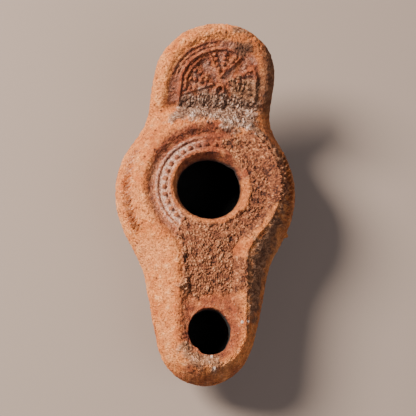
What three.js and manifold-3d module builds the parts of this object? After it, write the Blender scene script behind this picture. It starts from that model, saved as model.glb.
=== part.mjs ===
// A mould-made terracotta oil lamp: a round reservoir that runs out into a long nozzle, with a raised keyhole
// ridge round its top, a filling hole, a wick hole and an upturned tongue handle with a beaded cross. It is one
// piece of fired clay, pressed in two mould halves and luted along the side seam, hollow, with two openings.
// Millimetres. +X is right, +Y runs from the nozzle to the handle, +Z is up. The origin is the centre of the
// foot's underside, straight below the filling hole.
import * as THREE from "three";
import { mergeGeometries, mergeVertices } from "three/addons/utils/BufferGeometryUtils.js";
import Module from "manifold-3d";

const wasm = await Module();
wasm.setup();

// Plan, along the side seam
const bodyRadius = 33.6;
const nozzleTip = -71.2;
const nozzleTurn = -50; // where the sides start to round over into the tip
const nozzleHalf = 29; // half width of the nozzle's straight sides, carried back to the filling hole
const nozzleTaper = 0.2; // half width lost for each millimetre towards the tip
const handleEnd = 58.7;
const handleTurn = 38;
const handleHalf = 22.7;
const neckBlend = 5; // softness of the corners where nozzle and handle leave the round body
const handleLean = 1.5; // the handle's end sits this far to the right of the nozzle's line
const mouldSkew = 0.035; // the right side runs this much further back than the left, per millimetre across

// Heights
const seamHeight = 17;
const tipSeamDrop = 3.5;
const floorHeight = 27; // sunk floor of the top, round the filling hole
const channelDrop = 1.2; // the floor falls this much towards the wick hole
const ridgeHeight = 2.5;
const shoulderDrop = 0.7; // from the ridge's crest to its outer shoulder
const clayWall = 4.2;

// Keyhole ridge, measured inwards from its outer shoulder
const discOval = 0.955; // the discus is this much shorter along the lamp than across it
const shoulderRadius = 26;
const channelShoulder = 13.3;
const channelEnd = -54;
const crestInset = 0.3;
const discFootInset = 5.1;
const channelFootInset = 6.3;

// Handle
const panelStart = 32.3;
const panelPitch = THREE.MathUtils.degToRad(32);
const handleThickness = 9.5;
const handleSeamDrop = 4.4;
const rimHeight = 0.9;
const rimCrest = 4.4;
const rimWidth = 5.9;
const rimSwell = 0.4; // the rim is this share wider at the handle's end
const valleyDepth = 2.2;

// Foot and underside
const footRadius = 19.2;
const footHeight = 0.8;
const bowlRun = 14.4; // from the seam in to the foot
const nozzleRise = 9; // the underside climbs this much from the foot to the tip

// Openings
const fillRadius = 11.7;
const fillMouth = 14;
const fillLip = 23.4; // height at which the funnel ends and the straight hole starts
const wickCentre = -53.5;
const wickRadius = 7.7;
const wickLength = 8.4;
const wickFlare = 0.7;

const mix = THREE.MathUtils.lerp;
const clamp = THREE.MathUtils.clamp;
const ease = (from, to, v) => {
  const t = clamp((v - from) / (to - from), 0, 1);
  return t * t * (3 - 2 * t);
};
const softMax = (a, b, k) => Math.max(a, b) + Math.max(k - Math.abs(a - b), 0) ** 2 / (4 * k);
// A quarter of a rounded corner: steep at 0, level at 1. A fullness of 2 is a true quarter ellipse.
const corner = (t, fullness) => (1 - (1 - clamp(t, 0, 1)) ** fullness) ** (1 / fullness);

// How far a point of the plan lies inside the nozzle's outline, the handle's, and the whole lamp's.
function nozzleEdge(x, y) {
  const half = nozzleHalf + nozzleTaper * y;
  const end = clamp((nozzleTurn - y) / (nozzleTurn - nozzleTip), 0, 2);
  return half * (1 - Math.hypot(x / half, end ** 1.62));
}
function handleEdge(x, y) {
  const end = clamp((y - handleTurn) / (handleEnd - handleTurn), 0, 2);
  return handleHalf * (1 - Math.hypot(x / handleHalf, end ** 1.25));
}
function lampEdge(x, y) {
  const round = bodyRadius - Math.hypot(x, y);
  return softMax(round, y < 0 ? nozzleEdge(x, y) : handleEdge(x, y), neckBlend);
}
function hollowEdge(x, y) {
  const round = bodyRadius - Math.hypot(x, y);
  return (y < 0 ? softMax(round, nozzleEdge(x, y), neckBlend) : round) - clayWall;
}
// How far a point lies inside the ridge's outer shoulder: a round disc run together with a long channel.
function ridgeInset(x, y) {
  const disc = shoulderRadius - Math.hypot(x, y / discOval);
  const channel = channelShoulder - Math.hypot(x, Math.min(y - channelEnd, 0));
  return y < 0 ? softMax(disc, channel, 7) : disc;
}
// Half width at y of the part of the plan where a field is above a level.
function halfWidth(field, y, level = 0) {
  if (field(0, y) <= level) return 0;
  let [inside, outside] = [0, 40];
  for (let step = 0; step < 40; step++) {
    const x = (inside + outside) / 2;
    if (field(x, y) > level) inside = x;
    else outside = x;
  }
  return inside;
}

const footInset = (y) => mix(discFootInset, channelFootInset, ease(-18, -34, y));
const panelHeight = (y) => floorHeight + Math.tan(panelPitch) * (y - panelStart);
const floorAt = (y) => floorHeight - channelDrop * ease(-26, -46, y);
function seamAt(y) {
  const body = seamHeight - tipSeamDrop * clamp((y + 45) / (nozzleTip + 45), 0, 1);
  return softMax(body, panelHeight(y) - handleSeamDrop, 4);
}

// Upper surface of the lamp without its holes, rings and beads
function topHeight(x, y) {
  const edge = Math.max(lampEdge(x, y), 0);
  const inset = ridgeInset(x, y);
  const floor = floorAt(y);
  let shoulder;
  if (inset >= 0) {
    const inner = 1 - ease(crestInset, footInset(y), inset);
    const outer = shoulderDrop * Math.max(1 - inset / crestInset, 0) ** 2;
    shoulder = floor + ridgeHeight * inner - outer;
  } else {
    const out = -inset / (edge - inset);
    const fall = 1 - (1 - out ** 1.4) ** (1 / 1.4);
    shoulder = mix(floor + ridgeHeight - shoulderDrop, seamAt(y), fall);
  }
  shoulder -= valleyDepth * Math.exp(-(((y - panelStart + 1) / 3) ** 2)) * ease(2, 9, edge);
  const inRim = edge / (1 + rimSwell * ease(40, 54, y));
  const rim = rimHeight * (1 - ease(rimCrest, rimWidth, inRim));
  const rounded = (handleSeamDrop + rimHeight) * (1 - corner(inRim / rimCrest, 1.8));
  return mix(shoulder, panelHeight(y) + rim - rounded, ease(28, 35, y));
}
// The lowest line of the underside: level over the foot, a straight climb to the nozzle's tip, and a bowl that
// turns up into the underside of the handle
function keelHeight(y) {
  const beyond = Math.max(Math.abs(y) - footRadius, 0);
  if (y < 0) return footHeight + (nozzleRise - footHeight) * (beyond / (-nozzleTip - footRadius)) ** 1.15;
  const climb = 1 - corner(1 - beyond / bowlRun, 1.6);
  const bowl = mix(footHeight, seamHeight, climb) + 3 * Math.max(beyond - bowlRun, 0);
  const handle = Math.max(panelHeight(y) - handleThickness, seamHeight);
  return -softMax(-bowl, -handle, 5);
}
function undersideHeight(x, y) {
  const run = y < 0 ? mix(bowlRun, 18, ease(-20, -40, y)) : mix(bowlRun, 7, ease(24, 36, y));
  return mix(seamAt(y), keelHeight(y), corner(Math.max(lampEdge(x, y), 0) / run, 1.6));
}

// Rows across the lamp between two tips, closer together near the tips and the other busy stations
function rowsAlong(from, to, finest, widest, busy = []) {
  const rows = [from];
  const crowded = [from, to, ...busy];
  for (let y = from; y < to - finest; ) {
    y += Math.min(widest, finest + 0.22 * Math.min(...crowded.map((station) => Math.abs(y - station))));
    rows.push(Math.min(y, to));
  }
  rows[rows.length - 1] = to;
  return rows;
}
// One sheet of a closed form: a plane whose rows are the given stations and whose points go where place puts
// them. A facing of -1 turns the sheet over.
function sheet(columns, rows, facing, place) {
  const plane = new THREE.PlaneGeometry(2, rows.length - 1, columns, rows.length - 1);
  const points = plane.attributes.position;
  for (let i = 0; i < points.count; i++) {
    const row = Math.round(points.getY(i) + (rows.length - 1) / 2);
    points.setXYZ(i, ...place(facing * points.getX(i), rows[row]));
  }
  return plane;
}
// A closed geometry as a manifold solid, with shared points merged and the collapsed triangles at tips dropped
function solid(...geometries) {
  const bare = geometries.map((g) => {
    const copy = g.index ? g.toNonIndexed() : g.clone();
    copy.deleteAttribute("normal");
    copy.deleteAttribute("uv");
    return copy;
  });
  const merged = mergeVertices(mergeGeometries(bare), 1e-4);
  const corners = [];
  for (let i = 0; i < merged.index.count; i += 3) {
    const [a, b, c] = merged.index.array.slice(i, i + 3);
    if (a !== b && b !== c && c !== a) corners.push(a, b, c);
  }
  const vertProperties = merged.attributes.position.array;
  return new wasm.Manifold(new wasm.Mesh({ numProp: 3, vertProperties, triVerts: new Uint32Array(corners) }));
}
const asMade = (x, y, z) => [x + handleLean * ease(12, 52, y), y + mouldSkew * x, z];

// The clay body. Columns follow the ridge: floor, inner slope, crest and outer flank, or the handle's rim.
function clayBody() {
  const rows = rowsAlong(nozzleTip, handleEnd, 0.78, 3.1, [wickCentre - wickLength, 25, panelStart]);
  const steps = [0, 4, 6, 7, 12]; // columns at the middle, ridge foot, crest, shoulder and seam
  const widths = rows.map((y) => {
    const seam = halfWidth(lampEdge, y);
    const onHandle = ease(22, 32, y);
    const along = (inset, share, rim) =>
      Math.min(mix(Math.max(halfWidth(ridgeInset, y, inset), share * seam), seam * rim, onHandle), seam);
    return [0, along(footInset(y), 0.34, 0.7), along(crestInset, 0.5, 0.82), along(0, 0.6, 0.9), seam];
  });
  const across = (u, y) => {
    const column = Math.abs(u) * steps.at(-1);
    const band = Math.min(steps.findLastIndex((s) => s <= column + 1e-6), steps.length - 2);
    const edges = widths[rows.indexOf(y)];
    const part = (column - steps[band]) / (steps[band + 1] - steps[band]);
    return Math.sign(u) * mix(edges[band], edges[band + 1], part);
  };
  const top = sheet(2 * steps.at(-1), rows, 1, (u, y) => {
    const x = across(u, y);
    return asMade(x, y, Math.abs(u) > 0.999 ? seamAt(y) : topHeight(x, y));
  });
  const under = sheet(8, rows, -1, (u, y) => {
    const x = Math.sign(u) * Math.abs(u) ** 0.8 * widths[rows.indexOf(y)].at(-1);
    return asMade(x, y, Math.abs(u) > 0.999 ? seamAt(y) : undersideHeight(x, y));
  });
  return solid(top, under);
}

// The hollow: a reservoir with the nozzle's duct, a clay wall inside the outer surface
function hollow() {
  const half = (y) => halfWidth(hollowEdge, y);
  let [front, back] = [nozzleTip, bodyRadius - clayWall];
  while (hollowEdge(0, front + 0.01) <= 0) front += 0.01;
  const rows = rowsAlong(front, back, 1.4, 5);
  const inner = (sign, level) => (u, y) => {
    const x = Math.abs(u) > 0.999 ? Math.sign(u) * half(y) : Math.sign(u) * Math.abs(u) ** 0.8 * half(y);
    const rise = Math.abs(u) > 0.999 ? 0 : corner(hollowEdge(x, y) / 9, 1.6);
    return asMade(x, y, mix(seamAt(Math.min(y, 10)), level(y) + sign * clayWall, rise));
  };
  const ceiling = sheet(10, rows, 1, inner(-1, floorAt));
  const bottom = sheet(10, rows, -1, inner(1, (y) => keelHeight(Math.min(y, 0))));
  return solid(ceiling, bottom);
}

// A ring turned from a closed profile of [radius, height] points, oval as the discus is
function turned(profile, segments, oval = discOval) {
  const ring = new THREE.LatheGeometry(profile.map(([r, z]) => new THREE.Vector2(r, z)), segments);
  return solid(ring.rotateX(Math.PI / 2).scale(1, oval, 1));
}
// A low rounded ring that stands on a surface at the given height
const reliefRing = (radius, width, height, base, segments, oval) =>
  turned(
    [
      [radius - width / 2, base - 0.3],
      [radius + width / 2, base - 0.3],
      [radius + width / 5, base + height],
      [radius - width / 5, base + height],
      [radius - width / 2, base - 0.3],
    ],
    segments,
    oval,
  );

const bead = (radius, x, y, z) => solid(new THREE.IcosahedronGeometry(radius, 0).translate(x, y, z));
const joined = (solids) => wasm.Manifold.union(solids);

// The discus: a collar round the filling hole, a row of beads, and a thin outer ring
function discusRelief() {
  const beadCircle = 17.3;
  const beadCount = 36;
  const parts = [
    reliefRing(14.9, 2.4, 1.3, floorHeight, 40),
    reliefRing(19.9, 1.2, 0.6, floorHeight, 40),
  ];
  for (let i = 0; i < beadCount; i++) {
    const angle = (2 * Math.PI * i) / beadCount;
    const [x, y] = [beadCircle * Math.cos(angle), beadCircle * discOval * Math.sin(angle)];
    parts.push(bead(0.8, x, y, floorHeight));
  }
  return joined(parts);
}

// The filling hole's funnel and the flared oval wick hole
function holes() {
  const [above, below] = [floorHeight + 8, floorHeight - 10];
  const slope = (fillMouth - fillRadius) / (floorHeight + 1.3 - fillLip);
  const fill = turned(
    [
      [0, below],
      [fillRadius, below],
      [fillRadius, fillLip],
      [fillRadius + slope * (above - fillLip), above],
      [0, above],
    ],
    40,
  );
  const flareBase = floorAt(wickCentre) - 1.6;
  const wick = turned(
    [[0, below - 3], [1, below - 3], [1, flareBase], [1 + wickFlare, above], [0, above]].map(([r, z]) => [
      r > 0 ? wickRadius + (r - 1) : 0,
      z,
    ]),
    28,
    wickLength / wickRadius,
  ).translate([0, wickCentre, 0]);
  return joined([fill, wick]);
}

// The foot: a low disc with an incised ring near its edge
function foot() {
  const grooveRadius = 15.5;
  const disc = turned([[0, 0], [footRadius, 0], [footRadius + 0.6, 0.8], [footRadius - 1, 3], [0, 3]], 36, 1);
  const [inner, outer] = [grooveRadius - 0.7, grooveRadius + 0.7];
  const section = [[grooveRadius, 0.6], [inner, -0.1], [outer, -0.1], [grooveRadius, 0.6]];
  return disc.subtract(turned(section, 36, 1));
}

// The handle's panel, drawn flat with s running up it from the valley, then laid on the slope: an arch of two
// concentric lines round a cross with four flared arms, each edged and filled with beads, and a small ring
function handleRelief() {
  const [archCentre, archSpring] = [2.2, 8];
  const [archHalf, archRise] = [14.1, 12.5];
  // Each arm: where it springs from, the directions of its two edges in degrees, and how far it reaches
  const arms = [
    { spring: [2.8, 10.2], edges: [119, 46], reach: 10.5 },
    { spring: [0.2, 7.4], edges: [137, 199], reach: 11.8 },
    { spring: [5, 8.2], edges: [27, -24], reach: 10.5 },
    { spring: [3.2, 3.4], edges: [236, 304], reach: 6 },
  ];
  const depth = 1.1;
  const proud = 0.55;
  const archLine = (inwards, width, rise) => {
    const [half, high] = [archHalf - inwards, archRise - inwards];
    const shape = new THREE.Shape().moveTo(archCentre + half, 1).lineTo(archCentre + half, archSpring);
    shape.absellipse(archCentre, archSpring, half, high, 0, Math.PI, false, 0);
    shape.lineTo(archCentre - half, 1).lineTo(archCentre - half + width, 1);
    shape.absellipse(archCentre, archSpring, half - width, high - width, Math.PI, 0, true, 0);
    shape.lineTo(archCentre + half - width, 1);
    const line = new THREE.ExtrudeGeometry(shape, { depth, bevelEnabled: false, curveSegments: 8 });
    return line.translate(0, 0, rise - depth);
  };
  const pieces = [archLine(0, 1, proud), archLine(1.9, 0.7, 0.7 * proud)];
  for (const { spring, edges, reach } of arms) {
    const [from, to] = edges.map((edge) => THREE.MathUtils.degToRad(edge));
    for (const along of [from, to]) {
      const edge = new THREE.BoxGeometry(reach, 0.6, depth).translate(reach / 2, 0, proud - depth / 2);
      pieces.push(edge.rotateZ(along).translate(...spring, 0));
    }
    for (const [share, first] of [[0.14, 3], [0.5, 5], [0.86, 3]])
      for (let out = first; out < reach - 0.6; out += 2.1) {
        const at = mix(from, to, share);
        const [x, y] = [spring[0] + out * Math.cos(at), spring[1] + out * Math.sin(at)];
        pieces.push(new THREE.IcosahedronGeometry(0.75, 0).translate(x, y, 0.1));
      }
  }
  const ring = reliefRing(2.1, 1, 1, 0, 12, 1).translate([2.9, 5.2, 0]);
  const flat = joined([...pieces.map((g) => solid(g)), ring]);
  const pitch = THREE.MathUtils.radToDeg(panelPitch);
  return flat.rotate([pitch, 0, 0]).translate([0, panelStart, floorHeight]);
}

const fired = new THREE.MeshStandardMaterial({ color: 0xc47f58, roughness: 0.9, metalness: 0 });

const clay = joined([clayBody(), foot(), discusRelief(), handleRelief()]);
const shaped = clay.subtract(hollow()).subtract(holes()).getMesh();
const geometry = new THREE.BufferGeometry();
geometry.setAttribute("position", new THREE.BufferAttribute(shaped.vertProperties, 3));
geometry.setIndex(new THREE.BufferAttribute(shaped.triVerts, 1));
geometry.computeVertexNormals();

const body = new THREE.Mesh(geometry, fired);
body.name = "lamp";

const lamp = new THREE.Group();
lamp.add(body);
export default lamp;
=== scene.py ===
import math

import bmesh
import bpy
from mathutils import Matrix, Vector, noise


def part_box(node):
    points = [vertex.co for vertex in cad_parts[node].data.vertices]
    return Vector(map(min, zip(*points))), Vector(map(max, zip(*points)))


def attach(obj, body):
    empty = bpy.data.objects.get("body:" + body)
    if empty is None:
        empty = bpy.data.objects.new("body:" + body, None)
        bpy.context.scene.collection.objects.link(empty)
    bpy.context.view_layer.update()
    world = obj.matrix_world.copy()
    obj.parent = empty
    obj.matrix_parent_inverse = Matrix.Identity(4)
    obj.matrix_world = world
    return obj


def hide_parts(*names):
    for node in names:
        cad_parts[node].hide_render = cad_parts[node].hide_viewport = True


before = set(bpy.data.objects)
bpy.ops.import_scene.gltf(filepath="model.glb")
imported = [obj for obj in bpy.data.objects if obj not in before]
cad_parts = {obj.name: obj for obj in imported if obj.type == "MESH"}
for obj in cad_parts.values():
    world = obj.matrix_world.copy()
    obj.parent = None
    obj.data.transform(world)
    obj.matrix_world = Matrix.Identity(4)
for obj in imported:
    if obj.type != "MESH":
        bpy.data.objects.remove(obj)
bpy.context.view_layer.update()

# ---- The clay body ----
# A lamp of coarse local clay, pressed into two gypsum moulds and luted together along its widest line. The
# upper side has a raised keyhole ridge, and the lower side is plain, with a foot. Sizes are millimetres here,
# and the finished mesh is brought to metres.
low, high = (end * 1000 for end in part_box("lamp"))

nozzle_tip = low.y
nozzle_turn = -50  # where the nozzle's sides start to round over into its tip
nozzle_half = 29
nozzle_taper = 0.2
nozzle_bluntness = 1.62
body_radius = high.x
handle_end = high.y
handle_turn = 38
handle_half = 22.7
handle_bluntness = 1.25
handle_lean = 1.5
neck_blend = 5
mould_skew = 0.035
foot_radius = 19.2
foot_height = 0.8
foot_groove_radius = 15.5
foot_groove_depth = 0.6

seam_height = 17
tip_seam_drop = 3.5
seam_turn = -45  # where the seam starts to fall towards the nozzle's tip
floor_height = 27
channel_drop = 1.2
ridge_height = 2.5
shoulder_drop = 0.7
shoulder_fullness = 1.4
clay_wall = 4.2

disc_oval = 0.955
shoulder_radius = 26
channel_shoulder = 13.3
channel_end = -54
keyhole_blend = 7
crest_inset = 0.3
worn_crest_inset = 1.5
disc_foot_inset = 5.1
left_foot_inset = 5.4
channel_foot_inset = 6.3

panel_start = 32.3
panel_pitch = math.radians(32)
handle_thickness = 9.5
handle_seam_drop = 4.4
rim_height = 0.9
rim_crest = 4.4
rim_width = 5.9
rim_swell = 0.4
valley_depth = 2.2
valley_half = 3
bowl_run = 14.4
bowl_fullness = 1.6
nozzle_rise = 9


def mix(a, b, t):
    return a + (b - a) * t


def clamp(v, least=0.0, most=1.0):
    return min(max(v, least), most)


def ease(start, end, v):
    t = clamp((v - start) / (end - start))
    return t * t * (3 - 2 * t)


def soft_max(a, b, k):
    return max(a, b) + max(k - abs(a - b), 0) ** 2 / (4 * k)


def round_over(t, fullness):
    return (1 - (1 - clamp(t)) ** fullness) ** (1 / fullness)


# The next four say how far a point lies inside an outline of the lamp, seen from above.
def nozzle_edge(x, y):
    half = nozzle_half + nozzle_taper * y
    end = clamp((nozzle_turn - y) / (nozzle_turn - nozzle_tip), 0, 2)
    return half * (1 - math.hypot(x / half, end**nozzle_bluntness))


def handle_edge(x, y):
    end = clamp((y - handle_turn) / (handle_end - handle_turn), 0, 2)
    return handle_half * (1 - math.hypot(x / handle_half, end**handle_bluntness))


def lamp_edge(x, y):
    tongue = nozzle_edge(x, y) if y < 0 else handle_edge(x, y)
    return soft_max(body_radius - math.hypot(x, y), tongue, neck_blend)


def ridge_inset(x, y):
    disc = shoulder_radius - math.hypot(x, y / disc_oval)
    channel = channel_shoulder - math.hypot(x, min(y - channel_end, 0))
    return soft_max(disc, channel, keyhole_blend) if y < 0 else disc


widest_search = 40  # wider than any outline
search_steps = 40


# Half the width at y of what lies inside an outline, found by halving.
def half_width(inset, y):
    if inset(0, y) <= 0:
        return 0
    inside, outside = 0, widest_search
    for _ in range(search_steps):
        x = (inside + outside) / 2
        inside, outside = (x, outside) if inset(x, y) > 0 else (inside, x)
    return inside


def on_left(x):
    return ease(-4, -12, x)


# Where the ridge's inner slope meets the floor: further in along the channel and on the worn left side.
def foot_inset(x, y):
    disc = mix(disc_foot_inset, left_foot_inset, ease(-10, -19, x) * ease(-36, -26, y))
    return mix(disc, channel_foot_inset, ease(-24, -42, y))


def panel_height(y):
    return floor_height + math.tan(panel_pitch) * (y - panel_start)


def floor_at(y):
    return floor_height - channel_drop * ease(-26, -46, y)


def seam_at(y):
    body = seam_height - tip_seam_drop * clamp((y - seam_turn) / (nozzle_tip - seam_turn))
    return soft_max(body, panel_height(y) - handle_seam_drop, 4)


# How far a point of the handle's panel lies in from its rim, which swells towards the tip.
def rim_inset(edge, y):
    return edge / (1 + rim_swell * ease(40, 54, y))


# The upper side as the mould gave it: the ridge and what it encloses, the flank outside it, the valley behind
# the body, and the handle's panel with its rim.
def moulded_height(x, y):
    edge = max(lamp_edge(x, y), 0)
    inset = ridge_inset(x, y)
    floor = floor_at(y)
    if inset >= 0:
        crest = mix(crest_inset, worn_crest_inset, on_left(x))
        outer = shoulder_drop * max(1 - inset / crest, 0) ** 2
        down = clamp((inset - crest_inset) / (foot_inset(x, y) - crest_inset))
        down **= mix(1.25, 1, on_left(x))
        shoulder = floor + ridge_height * (1 - ease(0, 1, down)) - outer
    else:
        out = -inset / (edge - inset)
        fall = 1 - (1 - out**shoulder_fullness) ** (1 / shoulder_fullness)
        shoulder = mix(floor + ridge_height - shoulder_drop, seam_at(y), fall)
    valley = math.exp(-(((y - panel_start + 1) / valley_half) ** 2))
    shoulder -= valley_depth * valley * ease(2, 9, edge)
    in_rim = rim_inset(edge, y)
    rim = rim_height * (1 - ease(rim_crest - 0.8, rim_width + 1, in_rim))
    turned_down = (handle_seam_drop + rim_height) * (1 - round_over(in_rim / rim_crest, 1.8))
    return mix(shoulder, panel_height(y) + rim - turned_down, ease(28, 35, y))


# Handling has worn the ridge soft on the left and round the tip, so its height is averaged there.
def top_height(x, y):
    worn = max(ease(-6, -12, x), ease(-36, -46, y))
    reach = 1.6 * worn * ease(0.5, 3, lamp_edge(x, y)) * ease(31, 27, y)
    height = moulded_height(x, y)
    if reach == 0:
        return height
    sides = moulded_height(x - reach, y) + moulded_height(x + reach, y)
    sides += moulded_height(x, y - reach) + moulded_height(x, y + reach)
    return height / 3 + sides / 6


def keel_height(y):
    beyond = max(abs(y) - foot_radius, 0)
    if y < 0:
        return foot_height + (nozzle_rise - foot_height) * (beyond / (-nozzle_tip - foot_radius)) ** 1.15
    climb = 1 - round_over(1 - beyond / bowl_run, bowl_fullness)
    bowl = mix(foot_height, seam_height, climb) + 3 * max(beyond - bowl_run, 0)
    handle = max(panel_height(y) - handle_thickness, seam_height)
    return -soft_max(-bowl, -handle, 5)


# The underside rises from the foot to the seam, and has a ring incised in the foot.
def underside_height(x, y):
    run = mix(bowl_run, 18, ease(-20, -40, y)) if y < 0 else mix(bowl_run, 7, ease(24, 36, y))
    climb = round_over(max(lamp_edge(x, y), 0) / run, bowl_fullness)
    body = mix(seam_at(y), keel_height(y), climb)
    out = math.hypot(x, y)
    if out > foot_radius + 2:
        return body
    groove = foot_groove_depth * max(1 - abs(out - foot_groove_radius) / 0.8, 0)
    return min(mix(0, 1.6, ease(foot_radius - 0.8, foot_radius + 2, out)), body) + groove


# The mould was a little askew and the handle leans, so every point is moved a little as it is placed.
def as_made(x, y, z):
    return Vector((x + handle_lean * ease(12, 52, y), y + mould_skew * x, z))


def rows_along(start, end, finest, widest):
    rows = [start]
    while rows[-1] < end - finest:
        near = min(rows[-1] - start, end - rows[-1])
        rows.append(rows[-1] + min(widest, finest + 0.1 * near))
    rows[-1] = end
    return rows


# One sheet of points for each mould half, joined where their edges meet.
def closed_form(rows, upper_columns, lower_columns, lay_upper, lay_lower):
    form = bmesh.new()
    for columns, lay in ((lower_columns, lay_lower), (upper_columns, lay_upper)):
        grid = bmesh.ops.create_grid(form, x_segments=columns, y_segments=len(rows) - 1, size=1)
        for v in grid["verts"]:
            v.co = lay(v.co.x, rows[round((v.co.y + 1) / 2 * (len(rows) - 1))])
        if lay is lay_lower:
            bmesh.ops.reverse_faces(form, faces=form.faces)
    bmesh.ops.remove_doubles(form, verts=form.verts, dist=0.002)
    return form


body_rows = rows_along(nozzle_tip, handle_end, 0.08, 0.34)
seam_half = {y: half_width(lamp_edge, y) for y in body_rows}
flank_half = {y: clamp(half_width(ridge_inset, y), 0.5 * seam_half[y], 0.8 * seam_half[y]) for y in body_rows}
flat_share = 0.72  # of the columns lie inside the ridge, and the rest down the flank


def lay_top(u, y):
    along = abs(u)
    if along < flat_share:
        x = flank_half[y] * along / flat_share
    else:
        x = mix(seam_half[y], flank_half[y], ((1 - along) / (1 - flat_share)) ** 1.5)
    x = math.copysign(x, u)
    return as_made(x, y, seam_at(y) if along > 0.9999 else top_height(x, y))


def lay_underside(u, y):
    x = math.copysign(abs(u) ** 0.75 * seam_half[y], u)
    return as_made(x, y, seam_at(y) if abs(u) > 0.9999 else underside_height(x, y))


lamp_form = closed_form(body_rows, 196, 44, lay_top, lay_underside)

# ---- Relief of the upper side ----
# What was cut into the upper mould: a collar, a row of beads and a thin ring round the filling hole, strokes
# on both shoulders, and a beaded cross in an arch on the handle. Over it lies what burial left, a crust of
# soil and lime that hides the right half of the discus and fills the channel.
collar_radius = 14.75
bead_circle = 17.0
bead_count = 34
bead_size = 1.0
thin_ring = 19.9
stroke_circle = 30.5
stroke_pitch = 3.7  # degrees
arch_centre = 2.2
arch_half = 14.1
arch_spring = 8
arch_rise = 12.5
burr_y = -15.5
wick_centre = -53.5

# The thick crust: its two ends round the discus, in degrees, and its two sides and its end in the channel.
crust_from, crust_to = -126, 78
crust_left, crust_right, crust_end = -10.4, 13.4, -39.8

# The two sides of the lime, where it crosses the root of the handle.
lime_left, lime_right = -15, 17


def rounded(distance, half):
    return math.sqrt(max(1 - (distance / half) ** 2, 0))


def soft_line(distance, half):
    return max(1 - (distance / half) ** 2, 0) ** 2


def plan(co):
    x = co.x - handle_lean * ease(12, 52, co.y)
    return x, co.y - mould_skew * x


def polar(x, y):
    return math.hypot(x, y / disc_oval), math.degrees(math.atan2(y / disc_oval, x))


def up_panel(y):
    return (y - panel_start) / math.cos(panel_pitch)


def discus_relief(r, angle):
    if not 13 < r < 21:
        return 0
    collar = 1.25 * rounded(r - collar_radius, 1.45)
    step = 360 / bead_count
    off = math.radians((angle + step / 2) % step - step / 2)
    bead = bead_size * rounded(math.hypot(r * math.cos(off) - bead_circle, r * math.sin(off)), bead_size)
    ring = 0.6 * soft_line(r - thin_ring, 1.2)
    groove = 0.05 * soft_line(r - thin_ring + 1.05, 0.35) + 0.3 * soft_line(r - collar_radius - 1.3, 0.5)
    return max(collar, bead, ring) - groove


# Slanting strokes: the height is above nothing on each one, and below nothing in the shallow gaps between.
def shoulder_strokes(x, y):
    r = math.hypot(x, y)
    angle = math.degrees(math.atan2(y, abs(x)))
    if not (28 < r < 33 and -32 < angle < 28):
        return 0
    slanted = angle + (r - stroke_circle) * 2.2 * (1 if x < 0 else -1)
    across = ((slanted + stroke_pitch / 2) % stroke_pitch - stroke_pitch / 2) * math.radians(1) * r
    return soft_line(r - stroke_circle, 2.2) * (1.4 * soft_line(across, 0.75) - 0.4)


def from_line(x, s, start, end):
    along = Vector((end[0] - start[0], end[1] - start[1]))
    from_start = Vector((x - start[0], s - start[1]))
    t = clamp(from_start.dot(along) / along.length_squared)
    return (from_start - along * t).length


def outside_arch(x, s):
    if s < arch_spring:
        return abs(x - arch_centre) - arch_half
    across, up = (x - arch_centre) / arch_half, (s - arch_spring) / arch_rise
    return (math.hypot(across, up) - 1) * (arch_half + arch_rise) / 2


# Each arm of the cross: where it springs from, the directions of its two edges, and how far it reaches.
cross_arms = (
    ((2.8, 10.2), 119, 46, 10.5),
    ((0.2, 7.4), 137, 199, 11.8),
    ((5.0, 8.2), 27, -24, 10.5),
    ((3.2, 3.4), 236, 304, 6.0),
)
cross_ring = (2.9, 5.2)
cross_bead_gap = 1.95
cross_beads = []
for spring, first, second, reach in cross_arms:
    for share, start in ((0.13, 2.8), (0.5, 4.8), (0.87, 2.8)):
        turn = math.radians(mix(first, second, share))
        out = start
        while out < reach - 0.5:
            uneven = noise.noise(Vector((5.3 * out, 3.1 * turn, 1)))
            at = Vector((spring[0] + out * math.cos(turn), spring[1] + out * math.sin(turn) + 0.5 * uneven))
            cross_beads.append((at, 0.85 + 0.3 * uneven))
            out += cross_bead_gap


# Here s runs up the handle's panel from the valley. The lines wander a little, and are fainter to the right.
def handle_ornament(x, s):
    if s < -0.5 or s > 26:
        return 0
    wobble = 0.35 * noise.noise(Vector((x / 4, s / 4, 11)))
    off = outside_arch(x, s) + wobble
    left = ease(6, -4, x)
    height = 0.9 * soft_line(off, 0.9) * (1 - 0.7 * ease(2, 9, x) * ease(12, 16, s))
    height = max(height, 0.85 * left * soft_line(off + 2, 0.9) * ease(4, 7, s) * ease(18, 15, s))
    faint = 0.4 * left * ease(8, 12, s)
    height = max(height, faint * soft_line(off - 1.7, 0.6), faint * soft_line(off - 3.3, 0.65))
    if off < 0:
        for spring, first, second, reach in cross_arms:
            for turn in (math.radians(first), math.radians(second)):
                end = (spring[0] + reach * math.cos(turn), spring[1] + reach * math.sin(turn))
                height = max(height, 0.8 * soft_line(from_line(x, s, spring, end) + 0.3 * abs(wobble), 0.75))
        for at, size in cross_beads:
            height = max(height, size * rounded(math.hypot(x - at.x, s - at.y), size))
    return max(height, 1.1 * soft_line(math.hypot(x - cross_ring[0], s - cross_ring[1]) - 1.6, 0.75))


def ragged(x, y, coarse, fine):
    big = noise.noise(Vector((x / coarse, y / coarse, 4)))
    return big + 0.5 * noise.noise(Vector((x / fine, y / fine, 9)))


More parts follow.
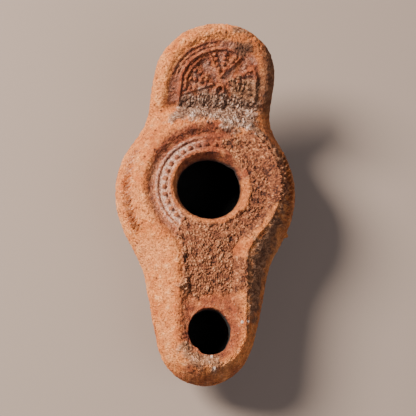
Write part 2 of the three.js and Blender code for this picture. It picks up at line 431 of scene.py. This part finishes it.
# Over the discus from below the filling hole round to its upper right, and down the channel, with a spill on
# its left and a bare place on its right.
def crust_cover(x, y):
    r, angle = polar(x, y)
    turned = (angle - crust_from) % 360 + crust_from
    outer = mix(23.9, 28.9, ease(-26, 0, angle)) if angle < 40 else mix(28.9, 19.5, ease(44, 76, angle))
    inner = 15.2 if angle < 30 else mix(13.4, 16.4, ease(50, 74, angle))
    sector = min(turned - crust_from, crust_to - turned) * math.radians(1) * r
    discus = min(r - inner, outer - r, sector)
    channel = min(x - crust_left, crust_right - x, 0.7 * (y - crust_end), r - 15, -10 - y)
    spill = 1.5 - math.hypot((x + 7.5) / 2.6, (y + 38) / 2.2)
    bare = (1 - math.hypot((x - 11.8) / 3.6, (y + 23.8) / 4.2)) * 3
    return ease(-0.5, 0.6, min(max(discus, channel, spill), -bare) + 1.15 * ragged(x, y, 3.2, 1.0))


# Whitish lime: across the valley at the root of the handle and a little way up its panel.
def lime_cover(x, y):
    if y < 16:
        return 0
    top = 5.6 - 0.25 * abs(x + 4) - up_panel(y)
    front = mix(25, 20.5, ease(0, 8, x))
    inside = min(x - lime_left - 0.6 * (y - 28), lime_right - x, y - front, top)
    return ease(-0.8, 1.6, inside + 2.6 * ragged(x, y, 2.6, 0.8))


def from_smoke_spot(x, s):
    return math.hypot((x - 9) / 3.4, (s - 20.6) / 1.9)


# Thinner dirt: along the right flank, on the handle's right and near its top, in front of the wick hole, and
# over the broken edge at the upper right of the filling hole.
def grime_cover(x, y):
    from_seam = lamp_edge(x, y) - mix(4, 1.2, ease(-10, -24, y))
    flank = min(0.2 - ridge_inset(x, y), from_seam, x - 9, 0.4 * (y + 52), 24 - y) / 2
    s = up_panel(y)
    panel_side = min(x - 5, 18.5 - x, s + 3, 10 - s) / 2
    near_top = 1.4 - from_smoke_spot(x, s)
    on_rim = 1.2 - math.hypot((x - 6.5) / 4.2, (y - 55.4) / 1.2)
    near, far = 8.2, 14.3
    from_wick = math.hypot(x, y - wick_centre)
    toward = math.degrees(math.atan2(-x, wick_centre - y))
    wick_front = min(from_wick - near, far - from_wick, (70 - toward) * 0.2, (toward + 20) * 0.2) / 1.6
    r, angle = polar(x, y)
    broken_edge = min(16.3 - r, (70 - angle) * 0.2, (angle - 14) * 0.2)
    nearest = max(flank, panel_side, near_top, on_rim, wick_front, broken_edge)
    return ease(-0.3, 1, nearest + 1.3 * ragged(x, y, 2.4, 0.8))


# Crumbs of the crust and lime, as crooked grains drawn out along one slant.
def crumb(x, y):
    lengthwise, across = 0.8 * x + 0.6 * y, -0.6 * x + 0.8 * y
    drawn_out = abs(noise.noise(Vector((lengthwise / 0.7, across / 0.95, 2.0))))
    grain = abs(noise.noise(Vector((x / 0.5, y / 0.5, 31.0))))
    lump = noise.noise(Vector((x / 2.1, y / 2.1, 8.0)))
    return clamp(1.35 * drawn_out + 0.75 * grain + 0.5 * lump, 0, 1.3)


# How far the surface stands off the smooth form: uneven clay, the luted seam and a burr on it, the ornament,
# and the dirt that half buries it.
def relief(co):
    x, y = plan(co)
    above_seam = co.z - seam_at(y)
    skin = 0.2 * noise.noise(co / 8) + 0.15 * noise.noise(co / 3)
    skin += 0.28 * ease(-1, 0.5, above_seam) * noise.noise(co / 0.85)
    skin += 0.16 * soft_line(above_seam, 0.9) * clamp(0.6 + noise.noise(co / 5) + 0.5 * noise.noise(co / 1.6))
    if x > 20:
        skin += 1.1 * soft_line(y - burr_y, 1.1) * soft_line(above_seam, 1.4)
    if above_seam < 0.3:
        return skin
    if y > panel_start - 1:
        carved = handle_ornament(co.x, up_panel(y))
    else:
        carved = discus_relief(*polar(x, y)) + shoulder_strokes(x, y)
    crust, lime, grime = crust_cover(x, y), lime_cover(x, y), grime_cover(x, y)
    height = skin + carved * (1 - 0.85 * max(crust, 0.8 * lime, 0.3 * grime))
    buried = max(0.85 * crust, 0.8 * lime, 0.4 * grime)
    return height + buried * (0.15 + crumb(x, y)) if buried > 0 else height


lamp_form.normal_update()
moves = [v.normal * relief(v.co) for v in lamp_form.verts]
for v, move in zip(lamp_form.verts, moves):
    v.co += move
    v.co.z = max(v.co.z, 0)  # the foot is worn flat

# ---- The hollow and its two holes ----
# The moulds leave the lamp hollow, with a wall about four millimetres thick. The filling hole was cut through
# the discus before firing, with a sloping edge, and the wick hole near the tip. Both edges are chipped.
fill_radius = 11.7
fill_mouth = 13.9
fill_lip = 23.4
wick_radius = 7.7
wick_length = 8.4
wick_lip = 24.2

# The ends of the two cutters, inside the hollow and clear above the lamp.
fill_bottom, fill_top = 14, 31
wick_bottom, wick_top = 13, 29.5


def hollow_edge(x, y):
    round_edge = body_radius - math.hypot(x, y)
    return (soft_max(round_edge, nozzle_edge(x, y), neck_blend) if y < 0 else round_edge) - clay_wall


hollow_front = nozzle_tip
while hollow_edge(0, hollow_front + 0.01) <= 0:
    hollow_front += 0.01
hollow_rows = rows_along(hollow_front, body_radius - clay_wall, 0.5, 2.2)
hollow_half = {y: half_width(hollow_edge, y) for y in hollow_rows}


def lay_hollow(u, y, level):
    x = math.copysign(abs(u) ** 0.8 * hollow_half[y], u)
    rise = 0 if abs(u) > 0.9999 else round_over(hollow_edge(x, y) / 9, 1.6)
    return as_made(x, y, mix(seam_at(min(y, 10)), level, rise))


def lay_roof(u, y):
    return lay_hollow(u, y, floor_at(y) - clay_wall)


def lay_bottom(u, y):
    return lay_hollow(u, y, keel_height(min(y, 0)) + clay_wall)


hollow_form = closed_form(hollow_rows, 24, 24, lay_roof, lay_bottom)


# A cutter turned from its profile, with chips in its wall, and drawn out along the lamp where it is oval.
def hole_form(profile, oval, centre, segments, chips):
    form = bmesh.new()
    points = [form.verts.new((r, 0, z)) for r, z in profile]
    edges = [form.edges.new(pair) for pair in zip(points, points[1:])]
    whole_turn = {"cent": (0, 0, 0), "axis": (0, 0, 1), "angle": math.tau, "use_merge": True}
    bmesh.ops.spin(form, geom=points + edges, steps=segments, **whole_turn)
    bmesh.ops.remove_doubles(form, verts=form.verts, dist=0.001)
    bmesh.ops.recalc_face_normals(form, faces=form.faces)
    for v in form.verts:
        r = math.hypot(v.co.x, v.co.y)
        if r > 1:
            wear = chips(math.degrees(math.atan2(v.co.y, v.co.x)), v.co.z)
            v.co.x *= (r + wear) / r
            v.co.y *= (r + wear) / r
    bmesh.ops.scale(form, vec=(1, oval, 1), verts=form.verts)
    bmesh.ops.translate(form, vec=(0, centre, 0), verts=form.verts)
    return form


# The filling hole's edge is broken away at the upper right, and the wick hole keeps a lump at the lower left.
def fill_chips(angle, z):
    turn = math.radians(angle)
    around = Vector((math.cos(turn), math.sin(turn), 0))
    rough = 0.16 * noise.noise(9 * around + Vector((0, 0, z / 1.5)))
    broken_edge = math.exp(-(((angle - 42) / 20) ** 2)) * ease(19, 25, z)
    uneven = noise.noise(3 * around + Vector((0, 0, z / 2.5)))
    return rough + broken_edge * (0.9 + 0.9 * uneven)


def wick_chips(angle, z):
    turn = math.radians(angle)
    rough = 0.2 * noise.noise(Vector((5 * math.cos(turn), 5 * math.sin(turn), z / 2)))
    lump = 0.7 * math.exp(-(((angle + 127) / 9) ** 2))
    return rough + 0.25 * noise.noise(Vector((2 * math.cos(turn), 2 * math.sin(turn), 4))) - lump


def levels(start, end, count):
    return [mix(start, end, i / count) for i in range(count + 1)]


fill_slope = (fill_mouth - fill_radius) / (floor_height + 1.2 - fill_lip)
fill_profile = [(0, fill_bottom)]
fill_profile += [(fill_radius, z) for z in levels(fill_bottom, fill_lip, 14)]
fill_profile += [(fill_radius + fill_slope * (z - fill_lip), z) for z in levels(fill_lip + 0.4, fill_top, 18)]
fill_profile += [(0, fill_top)]
wick_profile = [(0, wick_bottom)]
wick_profile += [(wick_radius, z) for z in levels(wick_bottom, wick_lip, 12)]
flared = levels(wick_lip + 0.4, wick_top, 10)
wick_profile += [(wick_radius + 0.12 * (z - wick_lip) ** 1.5, z) for z in flared]
wick_profile += [(0, wick_top)]

cutter_forms = [
    hollow_form,
    hole_form(fill_profile, disc_oval, 0, 150, fill_chips),
    hole_form(wick_profile, wick_length / wick_radius, wick_centre, 100, wick_chips),
]


def to_object(form, name):
    mesh = bpy.data.meshes.new(name)
    form.to_mesh(mesh)
    form.free()
    obj = bpy.data.objects.new(name, mesh)
    bpy.context.scene.collection.objects.link(obj)
    return obj


lamp = to_object(lamp_form, "lamp_fired")
for number, cutter_form in enumerate(cutter_forms):
    cutter = to_object(cutter_form, f"cutter_{number}")
    cut = lamp.modifiers.new("cut", "BOOLEAN")
    cut.operation = "DIFFERENCE"
    cut.solver = "MANIFOLD"
    cut.object = cutter
    evaluated = lamp.evaluated_get(bpy.context.evaluated_depsgraph_get())
    hollowed = bpy.data.meshes.new_from_object(evaluated)
    lamp.modifiers.clear()
    lamp.data = hollowed
    bpy.data.objects.remove(cutter)

# ---- What lies on the clay ----
# Soil, lime, stains and soot, places rubbed pale, and painted shade and highlights. Each is painted on the
# points of the finished mesh, by the same rules as the relief, as how much of the clay it covers there.
paints = ("crust", "crumb", "lime", "grime", "dust_and_highlight", "earth_and_shade", "stain_and_shade", "soot_and_shade")
white_lumps = ((0.4, -62.8), (1.2, -67.3), (11.4, -50.6), (13.6, -50.2))
white_lump_size = 0.75


# Soot and painted shade: black inside the lamp, darker the deeper in, and starting nearer the surface in the
# wick hole.
def soot_and_shade_cover(x, y, z):
    depth = min(top_height(x, y) - z, z - underside_height(x, y))
    in_wick_hole = math.hypot(x, y - wick_centre) < wick_length + 1
    return ease(0.5, 2.2, depth) if in_wick_hole else ease(1.6, 4.2, depth)


# Painted shade with stain on the right flank, the side away from the key light, and a little darker below the
# seam.
def darker_right_and_below(x, y, z, cloud):
    flank = ease(14, 22, x) * ease(-58, -44, y) * ease(34, 22, y) * ease(-1, 1, lamp_edge(x, y))
    below = ease(-1, -12, z - seam_at(y) + 6 * cloud)
    return clamp(max(0.25 * below, 0.3 * flank * (0.8 + cloud)))


# How pale the crumbs are: more by the lime and at the tip, less on the right of the discus, and on the right
# flank outside the ridge lightened as painted light, where it lies in shade.
def crumb_tone(x, y, cloud):
    pale = 0.2 * ease(32, 28, y) * ease(19, 23, y) + 0.12 * ease(-57, -60, y)
    pale -= 0.2 * ease(8, 16, x) * ease(16, 4, y)
    pale += 0.12 * ease(0, -1, ridge_inset(x, y)) * ease(10, 14, x) * ease(25, 15, y)
    return crumb(x, y) + pale * clamp(0.8 + cloud) + 0.2 * cloud


def on_bead_row(r):
    return ease(15.6, 16.4, r) * ease(19.2, 18.6, r)


paint = bmesh.new()
paint.from_mesh(lamp.data)
bmesh.ops.remove_doubles(paint, verts=paint.verts, dist=0.02)
layers = {name: paint.verts.layers.float.new(name) for name in paints}
for v in paint.verts:
    x, y = plan(v.co)
    cloud = noise.noise(Vector((x / 3, y / 3, 40)))
    v[layers["soot_and_shade"]] = soot_and_shade_cover(x, y, v.co.z)
    v[layers["stain_and_shade"]] = darker_right_and_below(x, y, v.co.z, cloud)
    if v.co.z < seam_at(y) + 0.3:
        continue
    r, angle = polar(x, y)
    turned = angle % 360
    s = up_panel(y)
    beads = clamp(discus_relief(r, angle) * 3)
    strokes = shoulder_strokes(x, y)
    left_side = ease(88, 130, turned) * ease(245, 225, turned)
    left_band = ease(20.6, 21.2, r) * ease(23.4, 21.8, r) * ease(125, 165, turned)
    on_panel = ease(-3, 1, s) * ease(5.2, 6.4, rim_inset(lamp_edge(x, y), y))
    smoked = ease(1.6, 0.7, from_smoke_spot(x, s))
    broken_edge = ease(16.6, 15.6, r) * ease(8, 20, angle) * ease(78, 66, angle)

    # Pale dust between the beads and between the lines of the handle's panel. On the ring, the collar and the
    # tops of the strokes, a paler tone that is partly rubbed and partly a painted highlight.
    patchy = clamp(0.85 + 1.1 * noise.noise(v.co / 0.8))
    carved = clamp(handle_ornament(v.co.x, s) * 2.5) if s > -1 else 0
    panel_dust = on_panel * (1 - carved) * clamp(0.35 + 1.2 * cloud) * (1 - smoked)
    between_beads = on_bead_row(r) * (1 - 0.85 * beads)
    rubbed_and_highlit = 0.65 * soft_line(r - thin_ring - 0.1, 0.9) + 0.6 * soft_line(r - collar_radius - 0.8, 0.7)
    rubbed_and_highlit = max(rubbed_and_highlit, 0.2 * left_band, 0.45 * clamp(strokes * 1.6)) * patchy
    v[layers["dust_and_highlight"]] = clamp(max(left_side * max(0.75 * between_beads, rubbed_and_highlit), 0.4 * panel_dust * patchy))

    # Reddish earth and painted shade in the hollows: painted shade with earth down the ridge's inner slope,
    # most on its far side and by the wick hole; painted shade on the band inside it at the left, between the
    # strokes and on the tip's front; earth and painted shade on the panel; earth on the bead tops and where
    # the filling hole's edge broke away.
    far_side = ease(60, 85, turned) * ease(250, 225, turned)
    far_top = ease(60, 80, turned) * ease(165, 130, turned)
    by_wick = ease(-36, -44, y)
    deeper = max(far_side, by_wick)
    slope_shade_and_earth = ease(0.5 - deeper - 1.6 * far_top, foot_inset(x, y) - 1.5 * deeper, ridge_inset(x, y))
    slope_shade_and_earth *= (1 + 0.6 * deeper) * mix(0.7, 1, ease(15.6, 16.6, r))
    slope_shade_and_earth *= 0.5 + 0.45 * far_top + 0.1 * by_wick
    tip_shade = ease(-64, -67, y) * (0.6 + cloud)
    bead_tops = beads * on_bead_row(r) * left_side
    earth_and_shade = max(on_panel, slope_shade_and_earth, 0.5 * clamp(-strokes * 3), 0.3 * left_band, 0.6 * tip_shade, broken_edge)
    v[layers["earth_and_shade"]] = clamp(max(earth_and_shade, 0.6 * bead_tops) + 0.3 * cloud)

    # Dirt over both, brown stain and painted shade on the handle's right rim, smoke near its top, and small
    # lumps of lime round the wick hole.
    rim_stain_and_shade = 0.8 * ease(13.5, 18.5, x) * ease(26, 32, y) * ease(57, 50, y)
    v[layers["stain_and_shade"]] = clamp(max(v[layers["stain_and_shade"]], rim_stain_and_shade, 0.8 * smoked))
    v[layers["crust"]] = crust_cover(x, y)
    v[layers["grime"]] = grime_cover(x, y) * (1 - broken_edge)
    white_lump = max(ease(white_lump_size, 0.35, math.hypot(x - at[0], y - at[1])) for at in white_lumps)
    v[layers["lime"]] = max(lime_cover(x, y), white_lump)
    v[layers["crumb"]] = crumb_tone(x, y, cloud) + 1.5 * white_lump
lamp.data.clear_geometry()
paint.to_mesh(lamp.data)
paint.free()
lamp.data.transform(Matrix.Scale(0.001, 4))
lamp.data.shade_smooth()
lamp.data.set_sharp_from_angle(angle=math.radians(60))

# ---- Fired clay ----
# Unglazed terracotta: a fine orange-brown clay with lime grit, matt, open-pored, and lighter where rubbed,
# with painted highlights on raised crests. Soil and lime stuck to it in the ground, its hollows and its right
# side carry painted shade, and its holes are painted black inside, as the soot the lamp's own flame left
# there and as shade.


def tone(hex_colour):
    channels = [int(hex_colour[i : i + 2], 16) / 255 for i in (1, 3, 5)]
    return [c / 12.92 if c <= 0.04045 else ((c + 0.055) / 1.055) ** 2.4 for c in channels] + [1]


def node(tree, kind, inputs, stops=(), **settings):
    added = tree.nodes.new(kind)
    for name, value in settings.items():
        setattr(added, name, value)
    for socket, value in inputs.items():
        if isinstance(value, bpy.types.NodeSocket):
            tree.links.new(value, added.inputs[socket])
        else:
            added.inputs[socket].default_value = value
    for number, (position, colour) in enumerate(stops):
        elements = added.color_ramp.elements
        element = elements[number] if number < 2 else elements.new(position)
        element.position = position
        element.color = tone(colour)
    return [output for output in added.outputs if output.enabled]


terracotta = bpy.data.materials.new("terracotta_unglazed")
terracotta.use_nodes = True
tree = terracotta.node_tree
shader = tree.nodes["Principled BSDF"]
on_object = tree.nodes.new("ShaderNodeTexCoord").outputs["Object"]
masks = {}
for name in paints:
    masks[name] = node(tree, "ShaderNodeAttribute", {}, attribute_name=name)[2]  # its Fac

# Four grains, by the width of their spots in millimetres and their roughness.
grain_sizes = (("patch", 14, 0.5), ("mottle", 2.8, 0.65), ("grit", 0.85, 0.65), ("pore", 0.75, 0.7))
grains = {}
for name, width_mm, roughness in grain_sizes:
    settings = {"Vector": on_object, "Scale": 1000 / width_mm, "Detail": 4, "Roughness": roughness}
    grains[name] = node(tree, "ShaderNodeTexNoise", settings)[0]
mottle, grit, pore = grains["mottle"], grains["grit"], grains["pore"]

patch_tones = [(0.32, "#BC5C29"), (0.5, "#D67B3B"), (0.68, "#EDA165")]
mottle_tones = [(0.3, "#98471B"), (0.44, "#CD7132"), (0.58, "#EB9751"), (0.72, "#FBC38D")]
patch_colour = node(tree, "ShaderNodeValToRGB", {0: grains["patch"]}, patch_tones)[0]
mottle_colour = node(tree, "ShaderNodeValToRGB", {0: mottle}, mottle_tones)[0]
surface = node(tree, "ShaderNodeMix", {0: 0.5, 6: patch_colour, 7: mottle_colour}, data_type="RGBA")[0]

# Each coat lies over the one before: its mask, what sets its level, and its colours from pits to tops. The
# crust, grime and lime follow the crumbs' height, so their pits are painted darker, as shade.
crumb_shade_and_tone = node(tree, "ShaderNodeMath", {0: grit, 1: 0.4}, operation="MULTIPLY")[0]
for part, share in ((mottle, 0.35), (masks["crumb"], 0.38)):
    added_up = {0: part, 1: share, 2: crumb_shade_and_tone}
    crumb_shade_and_tone = node(tree, "ShaderNodeMath", added_up, operation="MULTIPLY_ADD")[0]
coats = (
    ("earth_and_shade", mottle, [(0.3, "#5A2512"), (0.5, "#944726"), (0.7, "#BC7248")]),
    ("dust_and_highlight", grit, [(0.34, "#B5826A"), (0.5, "#D6A88F"), (0.66, "#EAC8B6")]),
    ("grime", crumb_shade_and_tone, [(0.35, "#5E3B26"), (0.47, "#835538"), (0.6, "#A2704D"), (0.85, "#C6977A")]),
    ("stain_and_shade", mottle, [(0.3, "#371C10"), (0.5, "#5B3521"), (0.72, "#8E5F42")]),
    ("crust", crumb_shade_and_tone, [(0.33, "#3D1C0F"), (0.44, "#7A4125"), (0.56, "#A3613B"), (0.76, "#CB8E64")]),
    ("lime", crumb_shade_and_tone, [(0.33, "#462C20"), (0.46, "#77513E"), (0.59, "#A2795F"), (0.86, "#E3C6B4")]),
)
for name, level, tones in coats:
    coat = node(tree, "ShaderNodeValToRGB", {0: level}, tones)[0]
    surface = node(tree, "ShaderNodeMix", {0: masks[name], 6: surface, 7: coat}, data_type="RGBA")[0]
grain_light = node(tree, "ShaderNodeMapRange", {0: grit, 1: 0.38, 2: 0.62, 3: 0.74, 4: 1.18})[0]
multiply = {"data_type": "RGBA", "blend_type": "MULTIPLY"}
surface = node(tree, "ShaderNodeMix", {0: 1, 6: surface, 7: grain_light}, **multiply)[0]

# Open pores and pocks where grog fell out, painted dark as their shade, and lime grit. The real ones are
# finer, and are drawn to show.
pits = node(tree, "ShaderNodeMapRange", {0: pore, 1: 0.44, 2: 0.37, 3: 0, 4: 0.75})[0]
grog = node(tree, "ShaderNodeTexVoronoi", {"Vector": on_object, "Scale": 1000 / 2.4})[0]
pock_spots = node(tree, "ShaderNodeMapRange", {0: grog, 1: 0.22, 2: 0.13, 3: 0, 4: 1})[0]
pock_cover = node(tree, "ShaderNodeMapRange", {0: mottle, 1: 0.54, 2: 0.44, 3: 0, 4: 0.85})[0]
pocks = node(tree, "ShaderNodeMath", {0: pock_spots, 1: pock_cover}, operation="MULTIPLY")[0]
lime_grit = node(tree, "ShaderNodeMapRange", {0: pore, 1: 0.62, 2: 0.7, 3: 0, 4: 0.35})[0]
specks = ((pits, "#6B361C"), (lime_grit, "#F8D6B8"), (pocks, "#4A2212"), (masks["soot_and_shade"], "#0B0908"))
for amount, colour in specks:
    surface = node(tree, "ShaderNodeMix", {0: amount, 6: surface, 7: tone(colour)}, data_type="RGBA")[0]
tree.links.new(surface, shader.inputs["Base Color"])
shader.inputs["Roughness"].default_value = 0.84
shader.inputs["Specular IOR Level"].default_value = 0.3
pore_depth = {"Height": pore, "Strength": 1, "Distance": 0.003}
tree.links.new(node(tree, "ShaderNodeBump", pore_depth)[0], shader.inputs["Normal"])

lamp.data.materials.clear()
lamp.data.materials.append(terracotta)
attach(lamp, "root")
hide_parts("lamp")

# ---- Floor, light and camera ----
# A sheet of warm grey paper under the lamp, a key light from the upper left, and a wide, faint fill from the
# right. The camera looks down on the lamp, tilted towards the nozzle and the left.
floor_form = bmesh.new()
bmesh.ops.create_grid(floor_form, x_segments=1, y_segments=1, size=1.5)
floor = to_object(floor_form, "floor")
paper = bpy.data.materials.new("pale_grey_paper")
paper.use_nodes = True
paper_shader = paper.node_tree.nodes["Principled BSDF"]
paper_shader.inputs["Base Color"].default_value = tone("#75685F")
paper_shader.inputs["Roughness"].default_value = 0.9
floor.data.materials.append(paper)


def soft_light(name, place, aim, size, watts, colour):
    light = bpy.data.lights.new(name, "AREA")
    light.shape = "DISK"
    light.size = size
    light.energy = watts
    light.color = tone(colour)[:3]
    obj = bpy.data.objects.new(name, light)
    obj.location = place
    obj.rotation_euler = (Vector(aim) - Vector(place)).to_track_quat("-Z", "Y").to_euler()
    bpy.context.scene.collection.objects.link(obj)


soft_light("key", (-0.82, 0.34, 0.66), (0, -0.005, 0.02), 0.45, 67, "#FFF5EB")
soft_light("fill", (0.7, -0.5, 0.9), (0, 0, 0.02), 1.2, 11, "#F6F5FF")
world = bpy.data.worlds.new("room")
bpy.context.scene.world = world
world.use_nodes = True
world.node_tree.nodes["Background"].inputs["Color"].default_value = tone("#C9C6C2")
world.node_tree.nodes["Background"].inputs["Strength"].default_value = 0.24

view_distance = 0.62
view_pitch = math.radians(16)
view_yaw = math.radians(9)
level_share = math.cos(view_yaw)
back = Vector((-math.sin(view_yaw), -math.sin(view_pitch) * level_share, math.cos(view_pitch) * level_share))
right = Vector((0, 1, 0)).cross(back).normalized()
up = back.cross(right)
aim = Vector((0.0003, -0.0067, 0.022)) - 0.00036 * right
camera_data = bpy.data.cameras.new("camera")
camera_data.sensor_width = 36
camera_data.lens = 146.25
camera = bpy.data.objects.new("camera", camera_data)
turn_to_view = Matrix((right, up, back)).transposed().to_4x4()
camera.matrix_world = Matrix.Translation(aim + view_distance * back) @ turn_to_view
bpy.context.scene.collection.objects.link(camera)
bpy.context.scene.camera = camera
